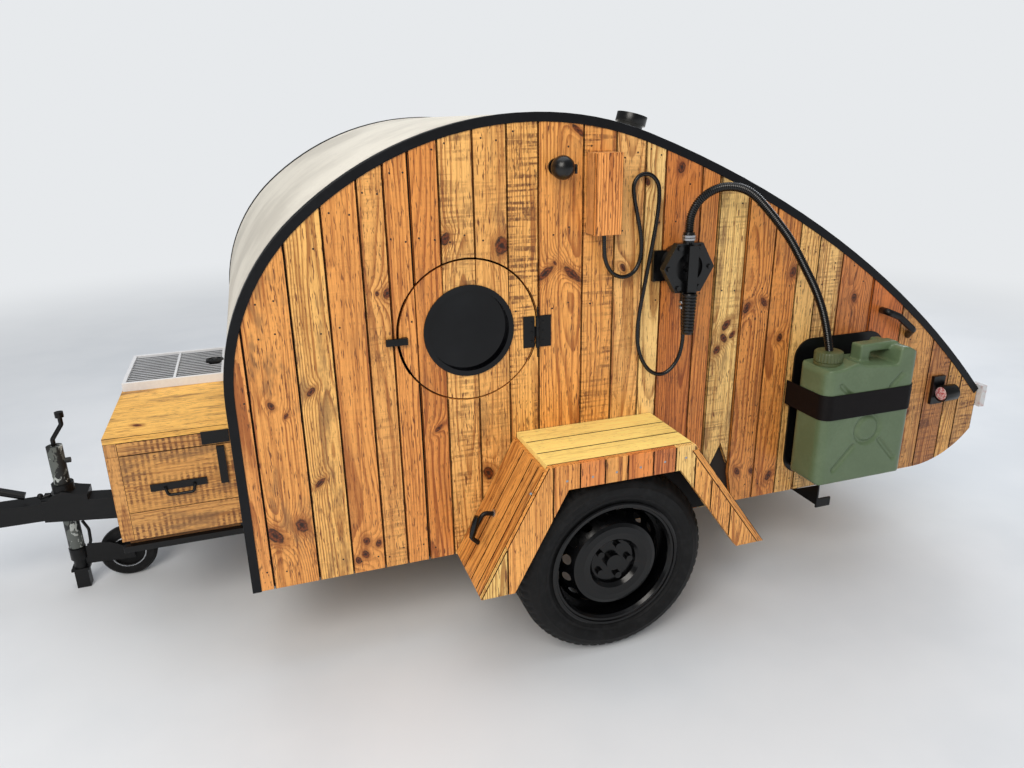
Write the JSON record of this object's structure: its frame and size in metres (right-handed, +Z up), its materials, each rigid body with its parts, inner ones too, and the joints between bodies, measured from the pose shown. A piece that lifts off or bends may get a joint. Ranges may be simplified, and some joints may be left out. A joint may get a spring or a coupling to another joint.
{
  "type": "teardrop trailer",
  "caption": "Small wooden teardrop camping trailer with curved cream roof, plank sides, round hinged porthole, rear hatch, front box, water can, drawbar and jockey wheel.",
  "frame": {"origin": "centre of the bounding box on the ground", "axes": "-X towards the tow ball, +X towards the tail, -Y towards the side with the porthole, +Z up"},
  "size_m": [3.8565, 1.92, 1.5182],
  "materials": {
    "pine_planks": "weathered sawn pine, oiled",
    "pale_boards": "pale sawn pine, oiled",
    "plywood": "plain plywood",
    "box_wood": "rough weathered wood, oiled",
    "cream_skin": "cream, fine textured",
    "black_trim": "satin black",
    "black_steel": "semi gloss black",
    "black_plastic": "satin black",
    "bright_steel": "bright",
    "tyre_rubber": "matt black",
    "seal_rubber": "matt black",
    "dark_glass": "tinted acrylic",
    "green_plastic": "olive green",
    "webbing": "woven black webbing",
    "hose_rubber": "ribbed black",
    "camo_tape": "camouflage tape",
    "white_frame": "white frame over dark ribs",
    "lamp_lens": "clear ribbed lens"
  },
  "bodies": {
    "trailer": {"drawbar": "black_steel", "v_arms": "black_steel", "chassis_rails": "black_steel", "cross_members": "black_steel", "axle_beam": "black_steel", "coupler_pole": "black_steel", "coupler_head": "black_steel", "handbrake_lever": "black_steel", "jockey_tube": "camo_tape", "jockey_clamp": "black_steel", "jockey_crank": "black_steel", "floor": "plywood", "wall_left": "plywood", "wall_right": "plywood", "cladding_left": "pine_planks", "cladding_right": "pine_planks", "roof_skin": "cream_skin", "tail_panel": "cream_skin", "bulkhead": "plywood", "edge_trims": "black_trim", "fender_decks": "pale_boards", "fender_boards_left": "pine_planks", "fender_boards_right": "pine_planks", "fender_handles": "black_steel", "roof_vent": "black_plastic", "ball_lamp": "black_plastic", "outlet_box": "pine_planks", "pump_body": "black_plastic", "pump_lever": "black_plastic", "water_hose": "hose_rubber", "supply_hose": "hose_rubber", "jerrycan": "green_plastic", "can_cap": "green_plastic", "can_strap": "webbing", "can_mount": "black_steel", "grab_handle": "black_steel", "side_lamps": "black_plastic", "rear_lamps": "lamp_lens", "front_box": "box_wood", "box_frame": "black_steel", "box_hardware": "black_steel", "fixed_hinges": "black_steel"},
    "porthole": {"porthole_disc": "pine_planks", "porthole_window": "dark_glass", "porthole_hardware": "black_steel"},
    "door": {"entry_door": "pine_planks", "door_window": "dark_glass", "door_hardware": "black_steel"},
    "rear_hatch": {"hatch": "cream_skin", "hatch_hardware": "black_steel"},
    "front_lid": {"box_lid": "box_wood", "lid_panel": "white_frame", "lid_hardware": "black_steel"},
    "wheel_left": {"tyre_left": "tyre_rubber", "rim_left": "black_steel"},
    "wheel_right": {"tyre_right": "tyre_rubber", "rim_right": "black_steel"},
    "jockey_leg": {"jockey_caster": "black_steel"},
    "jockey_roller": {"jockey_wheel": "tyre_rubber"}
  },
  "joints": [
    {"name": "porthole_swing", "type": "hinge", "parent": "trailer", "child": "porthole", "pos_m": [0.19524, -0.707, 0.959], "axis": [0, 0, 1], "range_deg": [0, 110]},
    {"name": "door_swing", "type": "hinge", "parent": "trailer", "child": "door", "pos_m": [-0.51426, 0.707, 0.679], "axis": [0, 0, 1], "range_deg": [0, 110]},
    {"name": "hatch_lift", "type": "hinge", "parent": "trailer", "child": "rear_hatch", "pos_m": [0.85874, 0, 1.32161], "axis": [0, -1, 0], "range_deg": [0, 65]},
    {"name": "lid_lift", "type": "hinge", "parent": "trailer", "child": "front_lid", "pos_m": [-0.82326, 0.392, 0.605], "axis": [-1, 0, 0], "range_deg": [0, 95]},
    {"name": "wheel_left_spin", "type": "hinge", "parent": "trailer", "child": "wheel_left", "pos_m": [0.35074, -0.846, 0.286], "axis": [0, 1, 0], "continuous": true},
    {"name": "wheel_right_spin", "type": "hinge", "parent": "trailer", "child": "wheel_right", "pos_m": [0.35074, 0.846, 0.286], "axis": [0, 1, 0], "continuous": true},
    {"name": "jockey_swivel", "type": "hinge", "parent": "trailer", "child": "jockey_leg", "pos_m": [-1.21526, 0, 0.2], "axis": [0, 0, 1], "continuous": true},
    {"name": "jockey_roll", "type": "hinge", "parent": "jockey_leg", "child": "jockey_roller", "pos_m": [-1.06626, 0.027, 0.092], "axis": [0, 1, 0], "continuous": true}
  ]
}
